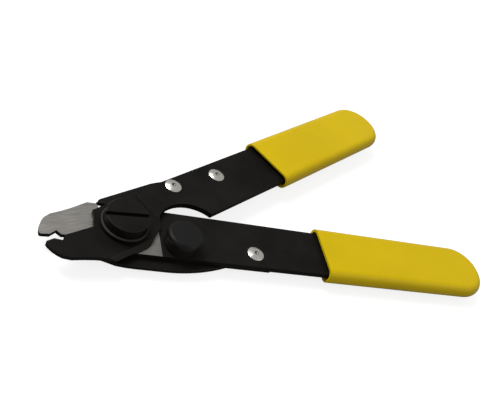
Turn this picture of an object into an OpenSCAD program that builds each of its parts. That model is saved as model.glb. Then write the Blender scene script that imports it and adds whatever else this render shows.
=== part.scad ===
// Fibre stripper: two plate arms on one pivot, each with a gripped handle behind and a notched jaw in front.
// The pivot axis is Z. Handles run towards +X and jaws towards -X. Z = 0 is the underside of the pivot nut.
// At rest the spring holds the arms open; closing turns the upper arm clockwise, seen from above.

/* [Arms] */
// Width of each arm plate
arm_width = 15.65; // [14:0.05:17]
// Thickness of each arm plate
arm_thick = 1.7; // [1.3:0.1:2.4]
// Distance from the pivot to the end of each plate, inside its grip
arm_reach = 116; // [100:1:116]
// Half of the angle between the arms when open
open_half_angle = 17.15; // [14:0.25:20]
// Half of the angle between the arms when closed
closed_half_angle = 10.1; // [9:0.1:11]
// How far the outer face of the upper head and of the lower jaw is thinned
head_relief = 0.5; // [0.2:0.05:0.6]
// Distance from the pivot to the step where the thinned upper head ends
head_step = 10.1; // [9.5:0.1:12]
// Depth to which the lower arm's mating face is ground
ground_depth = 0.05; // [0.02:0.01:0.1]
// Distance from the pivot to the end of the ground mating face
ground_end = 9.8; // [9:0.1:10.4]

/* [Throat] */
// Distance along the upper arm from the pivot to the middle of its throat
throat_at = 16.1; // [15:0.1:18]
// Radius of the throat
throat_r = 9.8; // [9:0.1:11]
// Distance from the arm's centre line to the bottom of the throat
throat_stop = 0.3; // [0:0.1:1.5]

/* [Jaws] */
// Distance from the pivot to the bottom of the notch
notch_reach = 17.15; // [15.5:0.05:18.5]
// Half of the width of the notch at its mouth
notch_half_width = 1.45; // [0.8:0.05:2]
// Distance from the pivot to the tip of the jaw
jaw_reach = 21; // [20.6:0.1:24]
// Distance from the arm's centre line to the cutting edge at the notch
cutting_edge = 4.55; // [3.8:0.05:5]
// Distance from the arm's centre line to the cutting edge beside the pivot
cutting_root = 3.2; // [2:0.1:3.5]
// How far the upper jaw is turned on its arm
upper_jaw_turn = 1.5; // [0:0.25:2.5]
// Distance ahead of the pivot to the step on the lower arm that stops the opening
step_at = 6.35; // [5.8:0.05:7]
// Slant of that step's face
step_slant = 22; // [10:1:30]
// Distance from the arm's centre line to the top of the bevel on the upper arm's inner edge
bevel_at = 6.9; // [6.6:0.05:7.4]
// Width of that bevel, seen from above
bevel_w = 1.4; // [0.8:0.1:1.6]

/* [Plates under the arms] */
// Thickness of the stop plate and of the backing plate
lower_thick = 1.1; // [0.8:0.1:1.2]
// How far the stop plate's front corner stands out past the arm's outer edge
stop_bulge = 2.9; // [2.4:0.05:4]
// Distance from the pivot to the bend in the stop plate's outer edge
stop_bend_at = 18; // [15:0.5:20]
// Distance from the pivot to the rear end of the stop plate
stop_reach = 43.2; // [42:0.1:50]
// How far the backing plate's outer edge stands out past the arm's outer edge
backing_bulge = 2.95; // [2:0.05:4]
// Radius of the curve in the backing plate's outer edge
backing_edge_r = 45; // [40:1:60]
// Distance from the pivot to the start of that curve
backing_curve_at = 11; // [8:0.5:13]
// Distance from the pivot to the rear end of the backing plate
backing_reach = 42; // [41:0.5:50]
// How far the backing plate reaches past the pivot towards the jaws
backing_front = 6.6; // [5:0.1:8]

/* [Rivets] */
// Distance along the upper arm to the front rivet
front_rivet_at = 22.4; // [20:0.1:24]
// Distance of the front rivet from the upper arm's outer edge
front_rivet_inset = 2.6; // [2.5:0.05:3.5]
// Distance of each rear rivet from the rear end of its plate
rear_rivet_before = 4.5; // [3.5:0.1:6]
// Distance of each rear rivet from the arm's outer edge
rear_rivet_inset = 4.65; // [3.3:0.05:5.5]
// Diameter of a rivet's shank
rivet_d = 2.4; // [2:0.1:3]
// Diameter of a rivet's head
rivet_head_d = 4.8; // [4:0.1:5.4]
// Height of a rivet's head
rivet_head_h = 0.55; // [0.4:0.05:0.9]

/* [Pivot] */
// Diameter of the screw's shoulder, which the upper arm turns on
shoulder_d = 6.4; // [5.8:0.1:6.8]
// Running clearance round the shoulder
pivot_clear = 0.05; // [0.02:0.01:0.09]
// Diameter of the screw's threaded end
thread_d = 4.9; // [4:0.1:5.2]
// Diameter of the screw's head
head_d = 11.5; // [11:0.1:12.5]
// Height of the screw's head
head_h = 2.7; // [2.5:0.1:4]
// Width of the driver slot
slot_w = 1.2; // [0.8:0.1:1.6]
// Depth of the driver slot
slot_deep = 0.9; // [0.5:0.1:1]
// Angle of the driver slot
slot_turn = -13; // [-90:1:90]
// Diameter of the collar under the screw's head
collar_d = 12.7; // [12.6:0.1:14]
// Height of the collar
collar_h = 1.4; // [1.2:0.1:2]
// Width across the flats of the pivot nut
nut_flats = 8; // [7:0.5:10]
// Height of the pivot nut
nut_h = 2.1; // [2:0.1:3]

/* [Spring] */
// Diameter of the spring wire
wire_d = 0.6; // [0.5:0.05:0.7]
// Turns in the spring
spring_turns = 2.25; // [1.25:1:2.25]

/* [Button] */
// Distance along the lower arm to the button
button_at = 15.3; // [14.9:0.1:16]
// Distance of the button from the lower arm's centre line, to its outer side
button_off = 3.3; // [2.9:0.1:4]
// Diameter of the button's body
button_d = 9.3; // [8:0.1:9.6]
// Height of the button's body
button_h = 3; // [2.4:0.1:4]
// Diameter of the button's stud, through both plates
stud_d = 4; // [3:0.1:5]
// Diameter of the button's cap
cap_d = 9.7; // [8.6:0.1:10]
// Height of the button's cap
cap_h = 1.8; // [1.2:0.1:2.4]
// Bevel round the top of the cap
cap_bevel = 0.6; // [0.2:0.1:0.8]
// Width across the flats of the button's nut
button_nut_flats = 7; // [6:0.5:8]
// Height of the button's nut
button_nut_h = 1.8; // [1.4:0.1:2]

/* [Grips] */
// Distance from the pivot to the mouth of each grip
grip_start = 59.7; // [55:0.1:70]
// Length of the upper grip
upper_grip_length = 62.6; // [59:0.1:66]
// Length of the lower grip
lower_grip_length = 60.5; // [59:0.1:66]
// Width of each grip
grip_width = 18.7; // [18:0.1:20]
// Thickness of each grip
grip_thick = 5.2; // [4.8:0.1:6.5]
// Corner radius at the far end of each grip
grip_corner_r = 9; // [5:0.25:9]
// Thickness of the lip round each grip's mouth
lip = 0.75; // [0.5:0.05:1]
// Depth of the recess in each grip's mouth
mouth_deep = 5; // [2:0.5:8]

/* [Hidden] */
$fn = 72;
gap = 0.05;                 // play between faces that slide or seat
cut = 1;                    // how far a cutting tool runs past the face it cuts
far = 200;                  // larger than the whole tool

// Heights of the stack, from the table up
backing_z = nut_h;
lower_z = backing_z + lower_thick;
lower_top = lower_z + arm_thick;
ground_z = lower_top - ground_depth;
upper_z = lower_top + gap;
upper_top = upper_z + arm_thick;
head_top = upper_top - head_relief;
stop_z = upper_z - lower_thick;
collar_z = head_top + gap;
screw_head_z = collar_z + collar_h;
screw_top = screw_head_z + head_h;

// Outline of an arm
arm_half = arm_width / 2;
boss_r = arm_half + 0.15;           // on the lower arm
upper_boss_r = arm_half + 0.6;
notch_angle = closed_half_angle + upper_jaw_turn / 2;
notch_x = -notch_reach * cos(notch_angle);
notch_y = notch_reach * sin(notch_angle);
notch_slope = notch_half_width / (cutting_edge - notch_y);
notch_past = cutting_edge - notch_y + cut;
shoulder_r = 4.8;           // rounds the corner between boss and throat
shoulder_at = [throat_at - throat_r - 0.7, -1.1];

// Spring chamber in the screw's head
chamber_r = head_d / 2 - 0.8;
chamber_top = screw_top - slot_deep - 0.5;
coil_r = (shoulder_d / 2 + chamber_r) / 2;
coil_low = head_top + wire_d;
coil_high = chamber_top - wire_d;
low_leg_turn = 10;          // angle of the spring leg in the upper arm
high_leg_turn = low_leg_turn + 360 * spring_turns;
leg_deep = 0.6;             // how far each leg reaches into its hole

// ---- Places ----

// Puts a child that is drawn in an arm's own axes, handle along +X and outer side to +Y, on the upper arm.
module on_upper() {
    rotate([0, 0, open_half_angle]) children();
}

// The lower arm is turned over, so that its outer side is to -Y.
module on_lower() {
    rotate([0, 0, -open_half_angle]) mirror([0, 1, 0]) children();
}

// On the lower arm's opening step, with the step's face along +Y and the handle to +X.
module at_step() {
    translate([-step_at, 0.15 - arm_half, 0]) rotate([0, 0, -step_slant]) children();
}

module at_front_rivet() {
    translate([front_rivet_at, arm_half - front_rivet_inset, 0]) children();
}

// The rear rivet of a plate that reaches so far from the pivot.
module at_rear_rivet(reach) {
    translate([reach - rear_rivet_before, arm_half - rear_rivet_inset, 0]) children();
}

module at_button() {
    translate([button_at, button_off, 0]) children();
}

// A round hole right through a plate that lies between two heights.
module hole(d, low, high) {
    translate([0, 0, low - cut]) cylinder(h = high - low + 2 * cut, d = d);
}

// ---- Arms ----

// The jaw crosses the tool, so its cutting edge is on the outer side. The V notch opens through that edge.
// The outline is closed beside the pivot by points of the arm's own.
module jaw_outline(beside_pivot) {
    difference() {
        polygon(concat(beside_pivot, [
            // Back of the jaw, from the pivot to the tip
            [-1.12 * arm_half, -0.98 * arm_half], [-1.36 * arm_half, -0.82 * arm_half],
            [-0.63 * jaw_reach, -0.6 * arm_half], [-0.75 * jaw_reach, -0.42 * arm_half],
            [-0.868 * jaw_reach, -0.26 * arm_half], [-0.943 * jaw_reach, -0.07 * arm_half],
            [-0.969 * jaw_reach, 0.12 * cutting_edge], [-0.992 * jaw_reach, 0.46 * cutting_edge],
            [-jaw_reach, 0.8 * cutting_edge], [0.07 - jaw_reach, cutting_edge],
            [0.5 - jaw_reach, cutting_edge + 0.3],
            // Cutting edge, from the tip to the pivot, and the front of the head
            [notch_x, cutting_edge], [notch_x + 2 * notch_half_width, cutting_edge - 0.4],
            [-0.84 * arm_half, cutting_root], [-0.72 * arm_half, 0.65 * arm_half],
            [-0.52 * arm_half, arm_half]
        ]));
        polygon([
            [notch_x, notch_y],
            [notch_x + notch_slope * notch_past, notch_y + notch_past],
            [notch_x - notch_slope * notch_past, notch_y + notch_past]
        ]);
    }
}

module strip_plate() {
    translate([-2, -arm_half, 0]) cube([arm_reach + 2, arm_width, arm_thick]);
}

// The upper arm has a throat behind the pivot, which clears the button when the arms close.
module throat() {
    translate([throat_at, -throat_stop - throat_r, -cut]) cylinder(h = arm_thick + 2 * cut, r = throat_r);
    translate([0, -arm_half - cut, -cut])
        cube([shoulder_at[0] + 2, arm_half + cut + 2 * shoulder_at[1], arm_thick + 2 * cut]);
}

module lower_arm() color("#38383a") on_lower() difference() {
    translate([0, 0, lower_z]) {
        difference() {
            linear_extrude(arm_thick) jaw_outline([[0, arm_half], [0, 0.15 - arm_half]]);
            at_step() translate([0, -far / 2, -cut]) cube([far, far, arm_thick + 2 * cut]);
        }
        translate([-0.7 * step_at, -0.7 * arm_half, 0]) cube([step_at, 1.7 * arm_half, arm_thick]);
        cylinder(h = arm_thick, r = boss_r);
        strip_plate();
    }
    // Ground mating face
    translate([-far, -far / 2, ground_z]) cube([far + ground_end, far, cut]);
    // Jaw thinned from below, in front of the backing plate
    translate([-far - backing_front - gap, -far / 2, lower_z - cut]) cube([far, far, cut + head_relief]);
    hole(thread_d + 2 * gap, lower_z, lower_top);
    at_rear_rivet(backing_reach) hole(rivet_d + 2 * gap, lower_z, lower_top);
    at_button() hole(stud_d + 2 * gap, lower_z, lower_top);
}

module upper_arm() color("#38383a") difference() {
    on_upper() difference() {
        translate([0, 0, upper_z]) {
            rotate([0, 0, upper_jaw_turn])
                linear_extrude(arm_thick) jaw_outline([[0, arm_half - 0.1], [0, -1.02 * arm_half]]);
            cylinder(h = arm_thick, r = arm_half);
            difference() {
                cylinder(h = arm_thick, r = upper_boss_r);
                // The boss stands out on the inner side only
                translate([-far / 2, 0, -cut]) cube([far, far, arm_thick + 2 * cut]);
            }
            difference() {
                strip_plate();
                throat();
            }
            translate([shoulder_at[0], shoulder_at[1], 0]) cylinder(h = arm_thick, r = shoulder_r);
        }
        // Head thinned from above, where the collar sits
        translate([-far, -far / 2, head_top]) cube([far + head_step, far, cut]);
        inner_bevel();
        at_front_rivet() hole(rivet_d + 2 * gap, upper_z, upper_top);
        at_rear_rivet(stop_reach) hole(rivet_d + 2 * gap, upper_z, upper_top);
    }
    hole(shoulder_d + 2 * pivot_clear, upper_z, upper_top);
    // Blind hole for the spring's lower leg
    rotate(low_leg_turn) translate([coil_r, 0, head_top - leg_deep - gap])
        cylinder(h = cut, d = wire_d + 2 * gap);
}

// Bevels the upper head's inner edge, down to its mating face.
module inner_bevel() {
    rise = (head_top - upper_z) / bevel_w;
    translate([-far, 0, 0]) rotate([90, 0, 90]) linear_extrude(far + shoulder_at[0]) polygon([
        [cut - bevel_at, head_top + rise * cut], [-far, head_top + rise * cut],
        [-far, upper_z - rise * cut], [-bevel_at - bevel_w - cut, upper_z - rise * cut]
    ]);
}

// ---- Plates under the arms ----

// Distance across the upper arm at which the lower arm's inner edge crosses x, with the arms at an angle.
function edge_y(x, angle) = (arm_half + gap - x * sin(angle)) / cos(angle);

// The stop plate lies level with the lower arm. Its front end meets the lower arm's step with the arms open,
// and its rear flat meets the lower arm's inner edge with them closed.
module stop_plate() color("#323234") on_upper() {
    open = 2 * open_half_angle;
    closed = 2 * closed_half_angle;
    front = -3;
    tail = arm_half - rear_rivet_inset - 4.2;
    corner_x = (arm_half + gap) * (cos(closed) - cos(open)) / sin(open - closed);
    outer = arm_half + stop_bulge;
    difference() {
        translate([0, 0, stop_z]) linear_extrude(lower_thick) polygon([
            [front, edge_y(front, open)],
            [corner_x, edge_y(corner_x, open)],
            [(arm_half + gap - tail * cos(closed)) / sin(closed), tail],
            [stop_reach, tail],
            [stop_reach, arm_half - 0.3],
            [stop_bend_at + 9, arm_half - 0.3],
            [stop_bend_at + 2, outer - 1.45],
            [stop_bend_at, outer - 1.1],
            [0.9, outer],
            [0.1, outer - 0.2],
            [-0.3, outer - 0.55],
            [front, outer - 0.55]
        ]);
        rotate([0, 0, -open]) mirror([0, 1, 0]) at_step()
            translate([gap - far, -far / 2, stop_z - cut]) cube([far, far, lower_thick + 2 * cut]);
        // Clears the lower arm's boss, which is level with it
        hole(2 * (boss_r + gap), stop_z, upper_z);
        at_front_rivet() hole(rivet_d + 2 * gap, stop_z, upper_z);
        at_rear_rivet(stop_reach) hole(rivet_d + 2 * gap, stop_z, upper_z);
    }
}

// The backing plate stiffens the lower arm from below, from the pivot to the rear rivet.
module backing_plate() color("#323234") on_lower() {
    inner = 1.5 - arm_half;
    outer = arm_half + backing_bulge;
    difference() {
        translate([0, 0, backing_z]) {
            linear_extrude(lower_thick) polygon([
                [-backing_front, inner], [-backing_front, outer - 2], [-0.3 * backing_front, outer - 0.45],
                [0.5, outer - 0.15], [3, outer - 0.05], [backing_curve_at, outer], [backing_curve_at, inner]
            ]);
            intersection() {
                translate([backing_curve_at - 1, inner, 0])
                    cube([backing_reach - backing_curve_at + 1, outer - inner, lower_thick]);
                translate([backing_curve_at, outer - backing_edge_r, 0])
                    cylinder(h = lower_thick, r = backing_edge_r, $fn = 180);
            }
            // Tail, a little inside the arm's outer edge
            translate([backing_curve_at + 16, inner, 0])
                cube([backing_reach - backing_curve_at - 16, arm_half - 0.65 - inner, lower_thick]);
        }
        hole(thread_d + 2 * gap, backing_z, lower_z);
        at_rear_rivet(backing_reach) hole(rivet_d + 2 * gap, backing_z, lower_z);
        at_button() hole(stud_d + 2 * gap, backing_z, lower_z);
    }
}

// ---- Rivets ----

// Half section of a rivet head on the plane y = 0: domed, with a raised ring round a central dimple.
module head_section() {
    r = rivet_head_d / 2;
    dome_r = (r * r + rivet_head_h * rivet_head_h) / (2 * rivet_head_h);
    difference() {
        intersection() {
            translate([0, rivet_head_h - dome_r]) circle(dome_r, $fn = 180);
            square([r, rivet_head_h]);
        }
        translate([0, rivet_head_h + 0.35]) circle(0.75);
    }
}

// A rivet whose plates lie between two heights, headed on both sides.
module rivet(low, high) {
    translate([0, 0, high]) rotate_extrude() head_section();
    translate([0, 0, low]) mirror([0, 0, 1]) rotate_extrude() head_section();
    translate([0, 0, low]) cylinder(h = high - low, d = rivet_d);
}

module upper_rivets() color("#d8d8d6") on_upper() {
    at_front_rivet() rivet(stop_z, upper_top);
    at_rear_rivet(stop_reach) rivet(stop_z, upper_top);
}

module lower_rivet() color("#d8d8d6") on_lower() {
    at_rear_rivet(backing_reach) rivet(backing_z, lower_top);
}

// ---- Pivot ----

// Shouldered screw, its end level with the nut. The chamber in its head holds the spring,
// and the chamber's roof takes the spring's upper leg.
module pivot_screw() color("#242426") difference() {
    rotate_extrude() polygon([
        [0, 0], [thread_d / 2 - 0.3, 0], [thread_d / 2, 0.3], [thread_d / 2, ground_z],
        [shoulder_d / 2, ground_z], [shoulder_d / 2, chamber_top], [chamber_r, chamber_top],
        [chamber_r, screw_head_z], [head_d / 2, screw_head_z], [head_d / 2, screw_top - 0.3],
        [head_d / 2 - 0.3, screw_top], [0, screw_top]
    ]);
    rotate(slot_turn) translate([-head_d, -slot_w / 2, screw_top - slot_deep])
        cube([2 * head_d, slot_w, slot_deep + cut]);
    rotate(high_leg_turn) translate([coil_r, 0, chamber_top - cut])
        cylinder(h = cut + leg_deep + gap, d = wire_d + 2 * gap);
}

// The collar spaces the screw's head off the upper arm and closes the spring chamber.
module head_collar() color("#2a2a2c") rotate_extrude() polygon([
    [chamber_r, collar_z], [collar_d / 2, collar_z], [collar_d / 2, screw_head_z - 0.3],
    [collar_d / 2 - 0.3, screw_head_z], [chamber_r, screw_head_z]
]);

// Hexagon nut with its lower corners bevelled.
module hex_nut(flats, h, bore, low) {
    corner_d = flats / cos(30);
    translate([0, 0, low]) difference() {
        intersection() {
            cylinder(h = h, d = corner_d, $fn = 6);
            cylinder(h = h, d1 = corner_d - 1.2, d2 = corner_d - 1.2 + 4 * h);
        }
        hole(bore, 0, h);
    }
}

module pivot_nut() color("#2a2a2c") hex_nut(nut_flats, nut_h, thread_d + 2 * gap, 0);

// ---- Spring ----

half_rise = (coil_high - coil_low) / (2 * spring_turns);
half_tilt = atan(half_rise / (2 * coil_r));

// Each half turn is an arc tilted so that its ends meet its neighbours, and a ball covers each join.
module coil() {
    halves = floor(2 * spring_turns);
    for (i = [0 : halves]) {
        turn = i == halves ? 360 * (spring_turns - halves / 2) : 180;
        translate([0, 0, coil_low + half_rise * (i + 0.5)]) rotate([0, 0, low_leg_turn + 180 * i])
            rotate([0, half_tilt, 0]) rotate_extrude(angle = turn)
            translate([coil_r / cos(half_tilt), 0]) circle(d = wire_d);
        rotate(low_leg_turn + 180 * i) translate([coil_r, 0, coil_low + half_rise * i]) join_ball();
    }
    rotate(high_leg_turn) translate([coil_r, 0, coil_high]) join_ball();
}

module join_ball() {
    sphere(d = wire_d + 0.04);
}

// The lower leg stands in the upper arm, the upper leg in the roof of the screw's head.
module return_spring() color("#b8bcc0") {
    coil();
    rotate(low_leg_turn) translate([coil_r, 0, head_top - leg_deep])
        cylinder(h = coil_low - head_top + leg_deep, d = wire_d);
    rotate(high_leg_turn) translate([coil_r, 0, coil_high])
        cylinder(h = chamber_top - coil_high + leg_deep, d = wire_d);
}

// ---- Button ----

module button_stud() color("#2a2a2c") on_lower() at_button() difference() {
    union() {
        translate([0, 0, lower_top]) cylinder(h = button_h, d = button_d);
        translate([0, 0, backing_z - button_nut_h])
            cylinder(h = lower_top - backing_z + button_nut_h, d = stud_d);
    }
    // Socket for the cap's spigot
    translate([0, 0, lower_top + button_h - 1.5]) cylinder(h = 1.5 + cut, d = stud_d + 2 * gap);
}

module button_cap() color("#303032") on_lower() at_button() translate([0, 0, lower_top + button_h]) {
    rotate_extrude() polygon([
        [0, 0], [cap_d / 2, 0], [cap_d / 2, cap_h - cap_bevel], [cap_d / 2 - cap_bevel, cap_h], [0, cap_h]
    ]);
    translate([0, 0, -1.3]) cylinder(h = 1.3, d = stud_d);
}

module button_nut() color("#2a2a2c") on_lower() at_button()
    hex_nut(button_nut_flats, button_nut_h, stud_d + 2 * gap, backing_z - button_nut_h);

// ---- Grips ----

// Dipped grip round the end of an arm, centred on the middle of the plate: rounded edges and far end.
module grip(length) {
    r = grip_thick / 2;
    half = grip_width / 2;
    corner_x = length - grip_corner_r;
    corner_y = half - grip_corner_r;
    inner_r = grip_corner_r - r;
    // Flat core
    translate([0, 0, -r]) linear_extrude(grip_thick) {
        translate([0, r - half]) square([corner_x, grip_width - grip_thick]);
        translate([0, -corner_y]) square([length - r, 2 * corner_y]);
        for (side = [-1, 1]) translate([corner_x, side * corner_y]) circle(inner_r);
    }
    // Long edges and far corners
    for (side = [-1, 1]) {
        translate([0, side * (half - r), 0]) rotate([0, 90, 0]) cylinder(h = corner_x, r = r);
        translate([corner_x, side * corner_y, 0]) rotate([0, 0, side > 0 ? 0 : -90])
            rotate_extrude(angle = 90) translate([inner_r, 0]) circle(r);
    }
    // Far edge
    translate([length - r, corner_y, 0]) rotate([90, 0, 0]) cylinder(h = 2 * corner_y, r = r);
}

// Recess in the mouth, which leaves a thin lip.
module mouth() {
    r = grip_thick / 2 - lip;
    edge_y = grip_width / 2 - grip_thick / 2;
    translate([-cut, -edge_y, -r]) cube([mouth_deep + cut, 2 * edge_y, 2 * r]);
    for (side = [-1, 1])
        translate([-cut, side * edge_y, 0]) rotate([0, 90, 0]) cylinder(h = mouth_deep + cut, r = r);
}

module fitted_grip(plate_z, length) {
    difference() {
        translate([grip_start, 0, plate_z + arm_thick / 2]) difference() {
            grip(length);
            mouth();
        }
        translate([grip_start - cut, -arm_half - gap, plate_z - gap])
            cube([arm_reach + gap - grip_start + cut, arm_width + 2 * gap, arm_thick + 2 * gap]);
    }
}

module lower_grip() color("#f2d800") on_lower() fitted_grip(lower_z, lower_grip_length);

module upper_grip() color("#f2d800") on_upper() fitted_grip(upper_z, upper_grip_length);

lower_arm();
upper_arm();
backing_plate();
stop_plate();
lower_grip();
upper_grip();
pivot_screw();
pivot_nut();
head_collar();
return_spring();
upper_rivets();
lower_rivet();
button_stud();
button_cap();
button_nut();
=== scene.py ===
"""Dressed model of a fibre stripper: blackened plate arms, a ground jaw, dipped vinyl grips and
nickel-plated rivets, on a pale floor."""
import math

import bmesh
import bpy
from mathutils import Matrix, Vector


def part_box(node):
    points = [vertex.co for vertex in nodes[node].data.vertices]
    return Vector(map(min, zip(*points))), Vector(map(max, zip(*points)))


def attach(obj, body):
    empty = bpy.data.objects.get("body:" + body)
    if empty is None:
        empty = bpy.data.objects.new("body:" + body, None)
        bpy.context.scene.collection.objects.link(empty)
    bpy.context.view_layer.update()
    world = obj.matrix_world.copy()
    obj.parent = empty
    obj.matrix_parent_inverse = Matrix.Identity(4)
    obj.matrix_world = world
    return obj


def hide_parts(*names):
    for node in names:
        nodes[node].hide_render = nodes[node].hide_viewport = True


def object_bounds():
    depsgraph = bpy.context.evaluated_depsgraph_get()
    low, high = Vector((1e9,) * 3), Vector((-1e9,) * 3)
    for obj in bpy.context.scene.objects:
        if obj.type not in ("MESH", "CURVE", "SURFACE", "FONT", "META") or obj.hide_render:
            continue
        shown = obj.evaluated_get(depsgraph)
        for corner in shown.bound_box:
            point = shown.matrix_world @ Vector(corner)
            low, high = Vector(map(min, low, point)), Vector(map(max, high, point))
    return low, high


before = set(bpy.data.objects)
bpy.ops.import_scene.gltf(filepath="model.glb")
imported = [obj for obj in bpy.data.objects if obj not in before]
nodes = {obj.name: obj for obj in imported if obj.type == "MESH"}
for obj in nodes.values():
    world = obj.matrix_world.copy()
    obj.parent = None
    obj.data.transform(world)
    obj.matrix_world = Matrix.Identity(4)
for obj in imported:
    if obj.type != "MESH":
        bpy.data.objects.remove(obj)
cad_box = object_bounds()
MM = 0.001
LOWER, UPPER = "lower_half", "upper_half"

# At rest the upper arm points this far above +X and the lower arm this far below it
OPEN_HALF_ANGLE = math.radians(17.15)
COS_OPEN, SIN_OPEN = math.cos(OPEN_HALF_ANGLE), math.sin(OPEN_HALF_ANGLE)

# Places on an arm, measured along it from the pivot and across it, positive outwards
HEAD_STEP = 10.1 * MM           # along, the step behind the upper arm's thinned head
STEP_REACH = 7.5 * MM           # across, to either end of that step
BEVEL_BACK = 5 * MM             # along, the rear end of the bevel on the upper arm's inner edge
BEVEL_OUTER = -6.3 * MM         # across, the outer side of that bevel
UPPER_RIVETS = ((22.4 * MM, 5.225 * MM), (38.7 * MM, 3.175 * MM))
LOWER_RIVETS = ((37.5 * MM, 3.175 * MM),)
DIMPLE_RADIUS = 0.72 * MM
BACK_END = 115.9 * MM           # from the pivot, just short of the square end of each arm's plate
BACK_END_DRAWN_IN = 2.5 * MM

PLATE_EDGE = 0.2 * MM           # how far each plate's stamped edge is rounded
GRIP_EDGE = 0.5 * MM            # the soft edge of the grips' mouths and rims
STRIP_AREA = 3 * MM * MM        # a rounded edge's facets are smaller than this
CREASE = 35                     # degrees, from which an edge of a steel piece is rounded
GRIP_CREASE = 50                # degrees, the same for a grip
SOFT_CREASE = 60                # degrees, up to which a grip or the spring is shaded smooth


# ---- Materials ----

def hex_colour(code):
    """sRGB hex to the linear colour that Blender's sockets take."""
    parts = [int(code[i:i + 2], 16) / 255 for i in (1, 3, 5)]
    linear = [c / 12.92 if c <= 0.04045 else ((c + 0.055) / 1.055) ** 2.4 for c in parts]
    return (*linear, 1.0)


def grey(level):
    return (level, level, level, 1.0)


def new_material(name):
    material = bpy.data.materials.new(name)
    material.use_nodes = True
    tree = material.node_tree
    return material, tree, tree.nodes["Principled BSDF"]


def add(tree, kind, links=(), stops=(), **settings):
    """Adds a node with its properties, inputs and colour stops, and links (input, source) pairs."""
    node = tree.nodes.new("ShaderNode" + kind)
    for key, value in settings.items():
        if hasattr(node, key) and key not in node.inputs:
            setattr(node, key, value)
        else:
            node.inputs[key.replace("_", " ")].default_value = value
    for i, (place, colour) in enumerate(stops):
        stop = node.color_ramp.elements[i]
        stop.position, stop.color = place, colour
    for name, source in links:
        tree.links.new(source, node.inputs[name])
    return node


def vary(tree, socket, source, low, high):
    """Runs a shader's socket from low to high with a noise, which seldom leaves 0.3 to 0.7."""
    spread = add(tree, "ValToRGB", [("Fac", source)], stops=[(0.3, low), (0.7, high)])
    tree.links.new(spread.outputs["Color"], socket)


def raise_surface(tree, shader, height, strength, depth):
    """Bumps a shader's surface by a height that is depth metres at most."""
    bump = add(tree, "Bump", [("Height", height)], Strength=strength, Distance=depth)
    tree.links.new(bump.outputs["Normal"], shader.inputs["Normal"])


def black_oxide_steel(name, low, high):
    """Stamped steel, blackened in a hot salt bath and oiled: a dull near-black that turns brown in
    the light, slightly uneven."""
    material, tree, shader = new_material(name)
    where = add(tree, "TexCoord").outputs["Object"]
    # Stains of the bath, about 11 mm across
    cloud = add(tree, "TexNoise", [("Vector", where)], Scale=90.0, Detail=4.0, Roughness=0.6)
    # Mill grain is about 0.1 mm; drawn at 0.35 mm so that it shows
    grain = add(tree, "TexNoise", [("Vector", where)], Scale=2800.0, Detail=3.0, Roughness=0.6)
    stain = cloud.outputs["Fac"]
    vary(tree, shader.inputs["Base Color"], stain, hex_colour(low), hex_colour(high))
    vary(tree, shader.inputs["Roughness"], stain, grey(0.44), grey(0.56))
    raise_surface(tree, shader, grain.outputs["Fac"], 0.12, 0.05 * MM)
    shader.inputs["Specular IOR Level"].default_value = 0.08
    return material


def ground_steel():
    """Hardened tool steel, surface ground flat: satin grey with fine straight marks."""
    material, tree, shader = new_material("ground_tool_steel")
    where = add(tree, "TexCoord").outputs["Object"]
    # Wheel marks 0.1 mm apart, drawn 0.3 mm apart and 5.5 mm long, across the jaw
    place = add(tree, "Mapping", [("Vector", where)], Scale=(180.0, 3300.0, 180.0),
                Rotation=(0.0, 0.0, OPEN_HALF_ANGLE))
    marks = add(tree, "TexNoise", [("Vector", place.outputs["Vector"])],
                Scale=1.0, Detail=3.0, Roughness=0.7)
    tone = add(tree, "ValToRGB", [("Fac", marks.outputs["Fac"])],
               stops=[(0.3, hex_colour("#82807c")), (0.7, hex_colour("#9c9994"))])
    # Faint handling stains, about 6 mm across
    cloud = add(tree, "TexNoise", [("Vector", where)], Scale=160.0, Detail=3.0)
    stain = add(tree, "ValToRGB", [("Fac", cloud.outputs["Fac"])],
                stops=[(0.4, grey(0)), (0.7, grey(0.4))])
    mix = add(tree, "MixRGB", [("Color1", tone.outputs["Color"]), ("Fac", stain.outputs["Color"])],
              Color2=hex_colour("#77736e"))
    tree.links.new(mix.outputs["Color"], shader.inputs["Base Color"])
    shader.inputs["Metallic"].default_value = 0.8
    vary(tree, shader.inputs["Roughness"], marks.outputs["Fac"], grey(0.38), grey(0.5))
    raise_surface(tree, shader, marks.outputs["Fac"], 0.15, 0.03 * MM)
    return material


def dipped_vinyl():
    """Plastisol vinyl, dipped and cured: a thick yellow skin with a soft gloss and a faint
    unevenness of flow."""
    material, tree, shader = new_material("dipped_vinyl")
    where = add(tree, "TexCoord").outputs["Object"]
    # Waves of the dip, about 17 mm long, and pores of 0.7 mm
    flow = add(tree, "TexNoise", [("Vector", where)], Scale=60.0, Detail=2.0)
    pores = add(tree, "TexNoise", [("Vector", where)], Scale=1500.0, Detail=2.0)
    wave = flow.outputs["Fac"]
    vary(tree, shader.inputs["Base Color"], wave, hex_colour("#c8ab00"), hex_colour("#cfb200"))
    vary(tree, shader.inputs["Roughness"], wave, grey(0.25), grey(0.33))
    height = add(tree, "Math", [(0, wave), (1, pores.outputs["Fac"])], operation="MULTIPLY")
    raise_surface(tree, shader, height.outputs["Value"], 0.1, 0.2 * MM)
    shader.inputs["IOR"].default_value = 1.53
    shader.inputs["Specular IOR Level"].default_value = 0.12
    return material


def nickel_plate(name, colour):
    """Nickel-plated steel rivet, bright, with hammer marks about 1 mm wide from its setting."""
    material, tree, shader = new_material(name)
    where = add(tree, "TexCoord").outputs["Object"]
    dents = add(tree, "TexNoise", [("Vector", where)], Scale=900.0, Detail=2.0)
    shader.inputs["Base Color"].default_value = hex_colour(colour)
    shader.inputs["Metallic"].default_value = 1.0
    vary(tree, shader.inputs["Roughness"], dents.outputs["Fac"], grey(0.18), grey(0.32))
    raise_surface(tree, shader, dents.outputs["Fac"], 0.35, 0.1 * MM)
    return material


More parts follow.
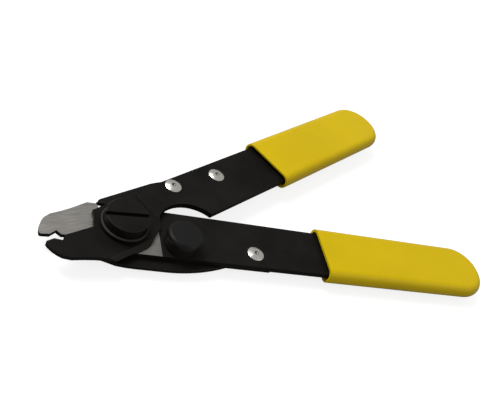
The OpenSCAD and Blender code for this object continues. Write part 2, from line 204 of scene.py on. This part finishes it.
def moulded_black():
    """Moulded black nylon cap: near-black, semi-gloss, with faint orange peel of 0.8 mm."""
    material, tree, shader = new_material("moulded_black_nylon")
    where = add(tree, "TexCoord").outputs["Object"]
    peel = add(tree, "TexNoise", [("Vector", where)], Scale=1200.0, Detail=2.0)
    shader.inputs["Base Color"].default_value = hex_colour("#0c0c0b")
    shader.inputs["IOR"].default_value = 1.5
    shader.inputs["Specular IOR Level"].default_value = 0.22
    vary(tree, shader.inputs["Roughness"], peel.outputs["Fac"], grey(0.36), grey(0.46))
    raise_surface(tree, shader, peel.outputs["Fac"], 0.1, 0.05 * MM)
    return material


def spring_wire():
    """Drawn music wire: bright, with die marks too fine to show, so only a soft uneven sheen."""
    material, tree, shader = new_material("drawn_spring_wire")
    where = add(tree, "TexCoord").outputs["Object"]
    cloud = add(tree, "TexNoise", [("Vector", where)], Scale=700.0, Detail=2.0)
    vary(tree, shader.inputs["Base Color"], cloud.outputs["Fac"],
         hex_colour("#a9abad"), hex_colour("#c2c4c6"))
    shader.inputs["Metallic"].default_value = 1.0
    shader.inputs["Roughness"].default_value = 0.3
    return material


OXIDE = black_oxide_steel("black_oxide_steel", "#0c0b0a", "#191715")
# Oxide worn thin on rounded edges, lightened further by a painted highlight
EDGE_WEAR_AND_HIGHLIGHT = black_oxide_steel("black_oxide_edge_wear_and_highlight", "#1c1a18", "#292624")
# A lighter oxide that is a painted highlight, on the upper arm's step and bevel and on the collar's
# rim
PAINTED_HIGHLIGHT = black_oxide_steel("black_oxide_painted_highlight", "#312e2b", "#3e3b37")
GROUND = ground_steel()
VINYL = dipped_vinyl()
NICKEL = nickel_plate("nickel_plated_steel", "#e6e3dc")
DIMPLE = nickel_plate("nickel_in_dimple", "#6d675c")    # darker nickel in a rivet's dimple
NYLON = moulded_black()
WIRE = spring_wire()

PLATE_FINISHES_AND_HIGHLIGHTS = [OXIDE, GROUND, PAINTED_HIGHLIGHT, EDGE_WEAR_AND_HIGHLIGHT]
ON_OXIDE, ON_GROUND, ON_PAINTED_HIGHLIGHT, ON_EDGE_WEAR_AND_HIGHLIGHT = range(len(PLATE_FINISHES_AND_HIGHLIGHTS))


# ---- Pieces ----

def solid_copy(node):
    """A bmesh of a CAD solid with its loose triangles joined and its flat faces made whole."""
    bm = bmesh.new()
    bm.from_mesh(nodes[node].data)
    bmesh.ops.remove_doubles(bm, verts=bm.verts, dist=0.002 * MM)
    bmesh.ops.dissolve_limit(bm, angle_limit=math.radians(1.0), verts=bm.verts, edges=bm.edges)
    bmesh.ops.recalc_face_normals(bm, faces=bm.faces)
    return bm


def is_sharp(edge, degrees):
    return len(edge.link_faces) == 2 and edge.calc_face_angle(0.0) > math.radians(degrees)


def round_edges(bm, edges, width, segments=3):
    bmesh.ops.bevel(bm, geom=edges, offset=width, offset_type="OFFSET", affect="EDGES",
                    segments=segments, profile=0.5, clamp_overlap=True, material=-1)


def piece(bm, name, body, materials, node, smooth=CREASE):
    """Makes a bmesh the piece that stands for a CAD node. Edges over smooth degrees stay crisp."""
    mesh = bpy.data.meshes.new(name)
    for face in bm.faces:
        face.smooth = True
    for edge in bm.edges:
        edge.smooth = not is_sharp(edge, smooth)
    bm.to_mesh(mesh)
    bm.free()
    for material in materials:
        mesh.materials.append(material)
    obj = bpy.data.objects.new(name, mesh)
    bpy.context.scene.collection.objects.link(obj)
    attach(obj, body)
    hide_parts(node)
    return obj


def weigh_normals(obj):
    """Keeps big flat faces flat in the shading beside their rounded edges."""
    weighted = obj.modifiers.new("flat_faces", "WEIGHTED_NORMAL")
    weighted.weight, weighted.keep_sharp = 100, True


def is_edge(face):
    """A strip of a rounded edge, where handling thins the oxide and a painted highlight lightens it
    further.
    """
    return 0.2 < abs(face.normal.z) < 0.97


def draw_back_end(bm):
    """Keeps the square end of an arm's plate inside the rounded end of its grip."""
    for vert in bm.verts:
        reach = vert.co.to_2d().length
        if reach > BACK_END:
            vert.co.x, vert.co.y = vert.co.to_2d() * (1 - BACK_END_DRAWN_IN / reach)


def plate(node, body, ground_z=None, is_painted_highlight=lambda face: False):
    """A stamped plate with its edges rounded. Its upward faces at the height ground_z stay sharp
    and are bare ground steel."""
    def is_ground(face):
        return (ground_z is not None and face.normal.z > 0.9
                and abs(face.calc_center_median().z - ground_z) < 0.02 * MM)

    bm = solid_copy(node)
    draw_back_end(bm)
    for face in bm.faces:
        face.material_index = ON_GROUND if is_ground(face) else ON_OXIDE
    edges = [e for e in bm.edges
             if is_sharp(e, CREASE) and not any(is_ground(f) for f in e.link_faces)]
    round_edges(bm, edges, PLATE_EDGE)
    for face in bm.faces:
        # Faces picked for it get a painted highlight in a lighter oxide
        if face.material_index == ON_OXIDE and is_painted_highlight(face):
            face.material_index = ON_PAINTED_HIGHLIGHT
        # The other rounded edge strips: oxide worn thin, lightened further by a painted highlight
        elif face.material_index == ON_OXIDE and is_edge(face):
            face.material_index = ON_EDGE_WEAR_AND_HIGHLIGHT
    weigh_normals(piece(bm, node + "_plate", body, PLATE_FINISHES_AND_HIGHLIGHTS, node))


def upper_painted_highlight(face):
    """The step behind the upper arm's thinned head and the bevel on its inner edge, which get a
    painted highlight in a lighter oxide."""
    middle, up = face.calc_center_median(), face.normal.z
    along = COS_OPEN * middle.x + SIN_OPEN * middle.y
    across = COS_OPEN * middle.y - SIN_OPEN * middle.x
    at_step = abs(along - HEAD_STEP) < 0.3 * MM and abs(across) < STEP_REACH and up < 0.98
    at_bevel = along < BEVEL_BACK and across < BEVEL_OUTER and 0.3 < up < 0.95
    return at_step or (at_bevel and face.calc_area() < STRIP_AREA)


# The lower jaw's ground face lies 0.05 mm below the top of its arm
plate("lower_arm", LOWER, ground_z=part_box("lower_arm")[1].z - 0.05 * MM)
plate("upper_arm", UPPER, is_painted_highlight=upper_painted_highlight)
plate("backing_plate", LOWER)
plate("stop_plate", UPPER)

for node, body in (("lower_grip", LOWER), ("upper_grip", UPPER)):
    grip = solid_copy(node)
    round_edges(grip, [e for e in grip.edges if is_sharp(e, GRIP_CREASE)], GRIP_EDGE, segments=4)
    skin = piece(grip, node + "_skin", body, [VINYL], node, smooth=SOFT_CREASE)
    weigh_normals(skin)

# Turned and moulded pieces: the finish of their faces and of their edges, which on steel is oxide
# worn thin with a painted highlight and on the collar a painted highlight only, and how far the
# edges are rounded
for node, face_finish, edge_finish_or_highlight, slot, width in (
    ("pivot_screw", OXIDE, EDGE_WEAR_AND_HIGHLIGHT, "black_steel", 0.15 * MM),
    ("pivot_nut", OXIDE, EDGE_WEAR_AND_HIGHLIGHT, "black_steel", 0.12 * MM),
    ("head_collar", OXIDE, PAINTED_HIGHLIGHT, "black_steel", 0.1 * MM),
    ("button_stud", OXIDE, EDGE_WEAR_AND_HIGHLIGHT, "black_steel", 0.15 * MM),
    ("button_cap", NYLON, NYLON, "black_plastic", 0.12 * MM),
    ("button_nut", OXIDE, EDGE_WEAR_AND_HIGHLIGHT, "black_steel", 0.12 * MM),
):
    turned = solid_copy(node)
    round_edges(turned, [e for e in turned.edges if is_sharp(e, CREASE)], width)
    for face in turned.faces:
        face.material_index = 1 if is_edge(face) else 0
    finishes_and_highlights = [face_finish, edge_finish_or_highlight]
    weigh_normals(piece(turned, node + "_finished", LOWER, finishes_and_highlights, node))

# The spring's lower leg ends on the arm that turns under it
spring = solid_copy("return_spring")
arm_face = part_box("head_collar")[0].z
for vert in spring.verts:
    vert.co.z = max(vert.co.z, arm_face)
piece(spring, "return_spring_wound", LOWER, [WIRE], "return_spring",
      smooth=SOFT_CREASE)

# side is 1 for the arm above +X and -1 for the one below it
for node, body, side, places in (
    ("upper_rivets", UPPER, 1, UPPER_RIVETS), ("lower_rivet", LOWER, -1, LOWER_RIVETS),
):
    rivets = solid_copy(node)
    axes = [Vector((COS_OPEN * along - SIN_OPEN * across,
                    side * (SIN_OPEN * along + COS_OPEN * across))) for along, across in places]
    for face in rivets.faces:
        middle = face.calc_center_median().to_2d()
        near = min((middle - axis).length for axis in axes) < DIMPLE_RADIUS
        if near and abs(face.normal.z) > 0.3:
            face.material_index = 1
    piece(rivets, node + "_set", body, [NICKEL, DIMPLE], node)


# ---- Studio ----

def floor():
    """Pale paper, which the camera sees as white and which keeps the tool's shadow."""
    bm = bmesh.new()
    bmesh.ops.create_grid(bm, x_segments=1, y_segments=1, size=3.0)
    bmesh.ops.translate(bm, vec=(0, 0, cad_box[0][2] - 0.2 * MM), verts=bm.verts)
    mesh = bpy.data.meshes.new("floor")
    bm.to_mesh(mesh)
    bm.free()
    material, tree, shader = new_material("floor_paper")
    shader.inputs["Base Color"].default_value = grey(0.3)
    shader.inputs["Roughness"].default_value = 0.9
    seen = add(tree, "LightPath").outputs["Is Camera Ray"]
    shader.inputs["Emission Color"].default_value = grey(1.0)
    lift = add(tree, "Math", [(0, seen)], operation="MULTIPLY")
    lift.inputs[1].default_value = 0.82
    tree.links.new(lift.outputs["Value"], shader.inputs["Emission Strength"])
    mesh.materials.append(material)
    obj = bpy.data.objects.new("floor", mesh)
    bpy.context.scene.collection.objects.link(obj)


def softbox(name, place, size, power):
    """A round soft light that points at the pivot; place and size in metres, power in watts."""
    light = bpy.data.lights.new(name, "AREA")
    light.shape = "DISK"
    light.size, light.energy = size, power
    obj = bpy.data.objects.new(name, light)
    obj.location = Vector(place)
    obj.rotation_euler = (-Vector(place)).to_track_quat("-Z", "Y").to_euler()
    bpy.context.scene.collection.objects.link(obj)


floor()
softbox("key", (-0.25, 0.45, 0.75), size=0.6, power=7.4)
softbox("fill", (0.5, -0.5, 0.6), size=0.7, power=0.8)

# The world lights the tool at 0.4 and is white behind it
world = bpy.data.worlds.new("studio")
bpy.context.scene.world = world
world.use_nodes = True
sky = world.node_tree
seen = add(sky, "LightPath").outputs["Is Camera Ray"]
level = add(sky, "MapRange", [("Value", seen)], To_Min=0.4, To_Max=1.0)
sky.links.new(level.outputs["Result"], sky.nodes["Background"].inputs["Strength"])
sky.nodes["Background"].inputs["Color"].default_value = grey(1.0)

# The camera's own axes and its place, in the tool's frame
RIGHT = (0.79135, -0.45878, 0.40408)
DOWN = (-0.08735, -0.73902, -0.66800)
AHEAD = (0.60509, 0.49333, -0.62490)
EYE = (-0.08192, -0.09932, 0.13293)
camera = bpy.data.cameras.new("camera")
camera.lens = 50.4
camera.sensor_width = 36.0
camera.clip_start = 0.01
viewer = bpy.data.objects.new("camera", camera)
rows = [(RIGHT[i], -DOWN[i], -AHEAD[i], EYE[i]) for i in range(3)]
viewer.matrix_world = Matrix(rows + [(0, 0, 0, 1)])
bpy.context.scene.collection.objects.link(viewer)
bpy.context.scene.camera = viewer
bpy.context.scene.view_settings.view_transform = "Standard"
